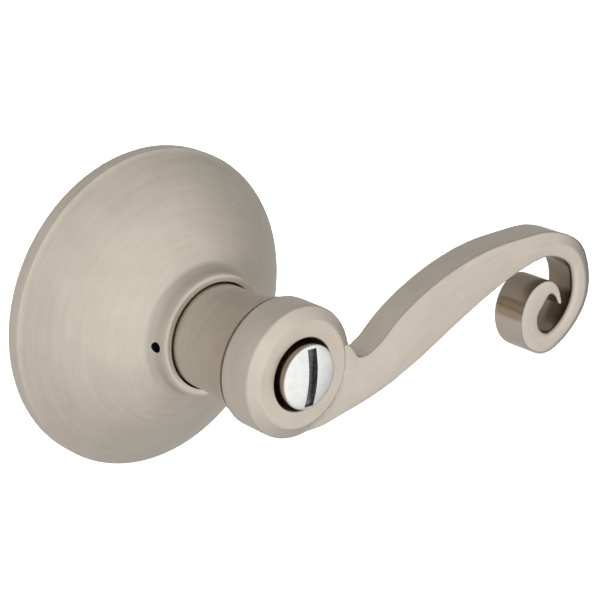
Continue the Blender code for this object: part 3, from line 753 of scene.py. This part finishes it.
def arm_section(station, length):
    """Outline of (across, y): a slightly crowned front and rounded edges."""
    x, z, tx, tz, upper, half, distance = station
    share = distance / length
    rear = ARM_REAR_AT_HUB + (ARM_REAR_AT_SCROLL - ARM_REAR_AT_HUB) * share
    free_above = smooth_step(x, *ARM_ROOT_UPPER)
    free_below = smooth_step(x, *ARM_ROOT_LOWER)

    def front(t):
        """The point at t, from -1 at the lower edge to 1 at the upper one."""
        across = (upper + half) / 2 * t + (upper - half) / 2
        radius = math.hypot(x - tz * across, z + tx * across)
        hub = np.interp(radius, (HUB_RING_RADIUS, HUB_RADIUS), (HUB_FACE, HUB_EDGE)) + ARM_INSET
        free = free_below + (free_above - free_below) * (t + 1) / 2
        return across, hub + (ARM_FRONT + ARM_CROWN * t * t - hub) * free

    widest = half * 0.6
    scroll = smooth_step(share, *CHAMFER_START) * (1 - smooth_step(share, *CHAMFER_END))
    chamfer_depth = min(ARM_CHAMFER + SCROLL_DEEPER * scroll, widest)
    chamfer_width = min(ARM_CHAMFER + SCROLL_WIDER * scroll, widest)
    lower_round = min(ARM_LOWER_ROUND + SCROLL_ROUNDER * scroll, widest)
    back_round = min(ARM_BACK_ROUND, widest)
    edge_round = 0.25
    _, upper_front = front(1)
    corners = [
        (upper, rear, back_round),
        (upper, upper_front + chamfer_depth, edge_round),
        (upper - chamfer_width, upper_front, edge_round),
    ]
    corners += [front(t) for t in (0.3, 0.2, 0.1, 0.0, -0.15, -0.3, -0.45)]
    corners += [(*front(-1), lower_round), (-half, rear, back_round)]
    return rounded(corners, 6)


def arm_mesh(name):
    """The arm and its scroll: a rounded section swept along the centre line."""
    stations = arm_stations()
    length = stations[-1][-1]
    sections = [arm_section(station, length) for station in stations]
    sides = len(sections[0])
    points = []
    for (x, z, tx, tz, *_), section in zip(stations, sections):
        for across, y in section:
            points.append((x - tz * across, y, z + tx * across))
    last = len(stations) - 1
    faces = [range(sides), range(last * sides, (last + 1) * sides)]
    for i in range(last):
        for k in range(sides):
            n = (k + 1) % sides
            faces.append((i * sides + k, i * sides + n, (i + 1) * sides + n, (i + 1) * sides + k))
    mesh = to_mesh(name, points, faces)
    layer = mesh.uv_layers.new(name="Along")
    girths = [distances(np.array(section)) for section in sections]
    for loop in mesh.loops:
        ring, side = divmod(loop.vertex_index, sides)
        layer.data[loop.index].uv = (stations[ring][-1] * MM, girths[ring][side] * MM)
    return mesh


def make_lever(round_material, path_material):
    """Neck, hub and arm in one casting, bored for the tube and the button."""
    groove = HUB_REAR + HUB_GROOVE_WIDTH
    groove_radius = NECK_FRONT_RADIUS - HUB_GROOVE_DEPTH
    corners = [
        (0.0, HUB_FACE),
        (HUB_RING_RADIUS, HUB_FACE, 0.8),
        (HUB_RADIUS, HUB_EDGE, 0.7),
        (HUB_RADIUS, HUB_REAR, 0.35),
        (groove_radius, HUB_REAR),
        (groove_radius, groove),
    ]
    corners += arc((NECK_FRONT_RADIUS, groove), (NECK_RADIUS, NECK_FLARE_START),
                   NECK_FLARE_SAGITTA, 16)
    corners += [(NECK_RADIUS, NECK_REAR, 0.25), (0.0, NECK_REAR)]
    lever = add_object("lever_body", lathe("lever_body", rounded(corners, 6), 160), round_material)
    lever.data.materials.append(path_material)
    lever.data.uv_layers.new(name="Along")
    arm = arm_mesh("arm")
    for material in (round_material, path_material):
        arm.materials.append(material)
    arm.polygons.foreach_set("material_index", [1] * len(arm.polygons))
    cut(lever, arm, "UNION")
    lip = (RECESS_RADIUS + RECESS_LIP, HUB_FACE + RECESS_LIP)
    cavity = [
        (0.0, NECK_REAR + 1),
        (LEVER_BORE, NECK_REAR + 1),
        (LEVER_BORE, WEB_REAR, 0.3),
        (WEB_BORE, WEB_REAR),
        (WEB_BORE, WEB_FRONT),
        (RECESS_RADIUS, WEB_FRONT, 0.3),
    ]
    cavity = rounded(cavity)
    cavity += [polar(RECESS_LIP, degrees, lip) for degrees in range(180, 261, 16)]
    cavity += [(lip[0], HUB_FACE - 1), (0.0, HUB_FACE - 1)]
    cut(lever, lathe("cavity", cavity, 120))
    window = box("window", (-NECK_RADIUS - 2, 1.5 - LEVER_BORE),
                 (RELEASE_HOLE_Y - CATCH_WINDOW, RELEASE_HOLE_Y + CATCH_WINDOW),
                 (-CATCH_WINDOW, CATCH_WINDOW))
    cut(lever, window)
    shade(lever)
    return lever


# ---------------------------------------------------------------- button

def make_button(material, slot_material):
    """A domed button with a coin slot, on a stem that takes the blade."""
    corners = []
    for t in np.linspace(0.0, 1.0, 14):
        y = BUTTON_CROWN + (BUTTON_EDGE - BUTTON_CROWN) * t * t
        corners.append((t * (BUTTON_RADIUS - BUTTON_RIM), y))
    groove_radius = STEM_RADIUS - CLIP_GROOVE_DEPTH
    groove_rear = WEB_REAR + CLIP_GROOVE_WIDTH
    corners += [
        (BUTTON_RADIUS, BUTTON_EDGE + 0.3, 0.45),
        (BUTTON_RADIUS, BUTTON_BACK, 0.2),
        (STEM_RADIUS, BUTTON_BACK, 0.1),
        (STEM_RADIUS, WEB_REAR),
        (groove_radius, WEB_REAR),
        (groove_radius, groove_rear),
        (STEM_RADIUS, groove_rear),
        (STEM_RADIUS, STEM_REAR, 0.2),
        (0.0, STEM_REAR),
    ]
    button = add_object("button_dome", lathe("button_dome", rounded(corners, 5), 96), material)
    lean = (0, math.radians(SLOT_LEAN), 0)
    slot = box("slot", (-SLOT_WIDTH / 2, SLOT_WIDTH / 2), (BUTTON_CROWN - 1, SLOT_FLOOR),
               (-SLOT_LENGTH / 2, SLOT_LENGTH / 2))
    for mesh in (button.data, slot):
        mesh.materials.clear()
        mesh.materials.append(material)
        mesh.materials.append(slot_material)
    slot.polygons.foreach_set("material_index", [1] * len(slot.polygons))
    cut(button, slot, rotation=lean)
    half_width = BLADE_WIDTH / 2 + BLADE_CLEARANCE
    half_length = BLADE_LENGTH / 2 + 2 * BLADE_CLEARANCE
    blade_slot = box("blade_slot", (-half_width, half_width), (BLADE_SLOT_FRONT, STEM_REAR + 1),
                     (-half_length, half_length))
    cut(button, blade_slot, rotation=lean)
    soften(button, 0.12)
    shade(button)
    return button


# ---------------------------------------------------------------- back

def circle_cut(obj, radius, centre, y_low, y_high):
    """Drill a hole along Y whose two edges are slightly chamfered."""
    edge = 0.2
    outline = [
        (0.0, y_low - 1),
        (radius + edge + 1, y_low - 1),
        (radius, y_low + edge),
        (radius, y_high - edge),
        (radius + edge + 1, y_high + 1),
        (0.0, y_high + 1),
    ]
    cut(obj, lathe("hole", outline, 48), location=(centre[0] * MM, 0, centre[1] * MM))


def make_plate(material):
    rim = PLATE_HIGH[0]
    front = PLATE_LOW[1]
    corners = [
        (PLATE_HOLE_RADIUS, 0.0, 0.25),
        (rim, 0.0, 0.4),
        (rim, front, 0.4),
        (PLATE_HOLE_RADIUS, front, 0.25),
    ]
    plate = add_object("plate", lathe("plate", rounded(corners), 160), material)
    for side in (-1, 1):
        circle_cut(plate, POST_RADIUS + GAP, (side * POST_OFFSET, 0.0), front, 0.0)
    for angle in EAR_ANGLES:
        circle_cut(plate, SCREW_RADIUS + GAP, polar(EAR_CENTRE, angle), front, 0.0)
    shade(plate)
    return plate


def make_post(name, side, material):
    """A round post with a screw thread in its rear end, drawn as grooves."""
    low, high = size_of(name)
    rear = high[1]
    head_rear = PLATE_LOW[1] - GAP
    corners = [
        (0.0, low[1]),
        (POST_HEAD_RADIUS, low[1], 0.3),
        (POST_HEAD_RADIUS, head_rear, 0.1),
        (POST_RADIUS, head_rear),
        (POST_RADIUS, rear, 0.4),
        (POST_BORE + 0.4, rear),
    ]
    outline = rounded(corners)
    for y in np.arange(rear - 0.4, rear - POST_THREAD_DEPTH, -POST_PITCH):
        outline.append((POST_BORE, y))
        outline.append((POST_BORE + 0.3, y - POST_PITCH / 2))
    bottom = rear - POST_THREAD_DEPTH
    outline += [(POST_BORE, bottom), (0.0, bottom - 1)]
    post = add_object(name + "_fine", lathe(name + "_fine", outline, 64), material)
    post.location.x = side * POST_OFFSET * MM
    return post


def make_screw(name, angle, material):
    low, high = size_of(name)
    head_rear = low[1] + SCREW_HEAD_HEIGHT
    corners = [
        (0.0, low[1]),
        (SCREW_HEAD_RADIUS, low[1], 0.8),
        (SCREW_HEAD_RADIUS, head_rear, 0.1),
        (SCREW_RADIUS, head_rear, 0.1),
        (SCREW_RADIUS, high[1], 0.3),
        (0.0, high[1]),
    ]
    screw = add_object(name + "_fine", lathe(name + "_fine", rounded(corners), 40), material)
    x, z = polar(EAR_CENTRE, angle)
    screw.location = (x * MM, 0, z * MM)
    return screw


def make_spindle(material):
    """A round bar with a flat along its underside and a bore for the blade."""
    low, high = size_of("spindle")
    radius = high[2]
    outline = []
    for k in range(SPINDLE_SIDES):
        x, z = polar(radius, k * 360 / SPINDLE_SIDES)
        outline.append((x, max(z, -SPINDLE_FLAT)))
    head = low[1] + SPINDLE_HEAD
    spindle = add_object("spindle_fine", prism("spindle_fine", outline, head - 1, high[1]), material)
    rim = -low[2]
    flange = [(0.0, low[1]), (rim, low[1], 0.3), (rim, head, 0.3), (0.0, head)]
    cut(spindle, lathe("flange", rounded(flange), SPINDLE_SIDES), "UNION")
    circle_cut(spindle, SPINDLE_BORE, (0.0, 0.0), low[1], high[1])
    soften(spindle, 0.2)
    shade(spindle)
    return spindle


def make_blade(material):
    low, high = size_of("torque_blade")
    mesh = box("blade_fine", (-BLADE_WIDTH / 2, BLADE_WIDTH / 2), (low[1], high[1]),
               (-BLADE_LENGTH / 2, BLADE_LENGTH / 2))
    mesh.transform(Matrix.Rotation(math.radians(SLOT_LEAN), 4, "Y"))
    blade = add_object("blade_fine", mesh, material)
    soften(blade, 0.15)
    shade(blade)
    return blade


def make_back(material):
    """The zinc plated pieces that show behind the rose."""
    pieces = {"mounting_plate": make_plate(material)}
    for name, side in (("screw_post_left", -1), ("screw_post_right", 1)):
        pieces[name] = make_post(name, side, material)
    for index, angle in enumerate(EAR_ANGLES):
        name = f"housing_screw_{index + 1}"
        pieces[name] = make_screw(name, angle, material)
    pieces["spindle"] = make_spindle(material)
    pieces["torque_blade"] = make_blade(material)
    riders = {"spindle": "lever", "torque_blade": "turn_button"}
    for node, piece in pieces.items():
        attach(piece, riders.get(node, "chassis"))
        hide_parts(node)


# ---------------------------------------------------------------- scene

def make_floor():
    paint = Surface("pale_floor", 0.0, 0.6, (0.9, 0.9, 0.9)).material
    floor = add_object("floor", box("floor", (-4000, 4000), (-4000, 4000), (-252, -250)), paint)
    floor.visible_glossy = False


def add_light(name, location, size, power, target=(0.02, -0.03, 0.0), spread=180):
    data = bpy.data.lights.new(name, "AREA")
    data.spread = math.radians(spread)
    data.shape = "RECTANGLE"
    data.size, data.size_y = size
    data.energy = power
    light = bpy.data.objects.new(name, data)
    light.location = location
    aim = Vector(target) - Vector(location)
    light.rotation_euler = aim.to_track_quat("-Z", "Y").to_euler()
    light.visible_glossy = False
    bpy.context.scene.collection.objects.link(light)


def make_studio():
    """A sky that is brightest at the front and dimmest at the right, and two lamps."""
    world = bpy.data.worlds.new("studio")
    world.use_nodes = True
    tree = world.node_tree
    direction = tree.nodes.new("ShaderNodeTexCoord").outputs["Generated"]
    frontwards = tree.nodes.new("ShaderNodeVectorMath")
    frontwards.operation = "DOT_PRODUCT"
    frontwards.inputs[1].default_value = (0.25, -0.965, 0.0)
    tree.links.new(direction, frontwards.inputs[0])
    ramp = tree.nodes.new("ShaderNodeMapRange")
    ramp.interpolation_type = "SMOOTHSTEP"
    ramp.inputs["From Min"].default_value = 0.2
    ramp.inputs["From Max"].default_value = 0.9
    ramp.inputs["To Min"].default_value = 0.62
    ramp.inputs["To Max"].default_value = 1.14
    tree.links.new(frontwards.outputs["Value"], ramp.inputs["Value"])
    leftwards = tree.nodes.new("ShaderNodeVectorMath")
    leftwards.operation = "DOT_PRODUCT"
    leftwards.inputs[1].default_value = (-0.18, 0.0, -0.04)
    tree.links.new(direction, leftwards.inputs[0])
    strength = tree.nodes.new("ShaderNodeMath")
    strength.operation = "ADD"
    tree.links.new(ramp.outputs[0], strength.inputs[0])
    tree.links.new(leftwards.outputs["Value"], strength.inputs[1])
    background = tree.nodes["Background"]
    background.inputs["Color"].default_value = (1.0, 1.0, 1.0, 1.0)
    tree.links.new(strength.outputs[0], background.inputs["Strength"])
    bpy.context.scene.world = world
    add_light("key", (-1.2, -2.2, 1.9), (6.0, 5.0), 120)
    add_light("backdrop", (0.95, 1.0, 1.6), (0.8, 0.8), 16, (0.95, 1.0, 0.0), 70)


def make_camera():
    data = bpy.data.cameras.new("camera")
    data.lens = 108.0
    data.sensor_width = 36.0
    camera = bpy.data.objects.new("camera", data)
    azimuth = math.radians(-42.23)
    elevation = math.radians(21.48)
    camera.location = (-0.22905, -0.30435, 0.15039)
    camera.rotation_euler = (math.pi / 2 - elevation, 0.0, azimuth)
    bpy.context.scene.collection.objects.link(camera)
    bpy.context.scene.camera = camera


def build():
    round_nickel = brushed_nickel("satin_nickel")
    path_nickel = brushed_nickel("satin_nickel_arm", along_path=True)
    steel = zinc_steel()
    springs = spring_steel()
    casting = die_cast()
    nylon = black_nylon()
    oxide = black_steel()

    # the black oxide material also paints the release hole's wall, as painted shade
    rose = make_rose(round_nickel, oxide)
    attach(rose, "chassis")
    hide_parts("rose")
    lever = make_lever(round_nickel, path_nickel)
    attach(lever, "lever")
    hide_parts("lever")
    button = make_button(bright_nickel(), shaded_slot_nickel())
    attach(button, "turn_button")
    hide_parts("turn_button")

    make_back(steel)

    kept = {
        "zinc_steel": steel,
        "spring_steel": springs,
        "black_steel": oxide,
        "die_cast": casting,
        "black_nylon": nylon,
    }
    slots = {part["node"]: part["material_slot"] for part in frame["record"]["subparts"]}
    for node, obj in frame["nodes"].items():
        if slots[node] in kept:
            obj.data.materials.clear()
            obj.data.materials.append(kept[slots[node]])


build()
make_floor()
make_studio()
make_camera()
bpy.context.scene.view_settings.view_transform = "Standard"
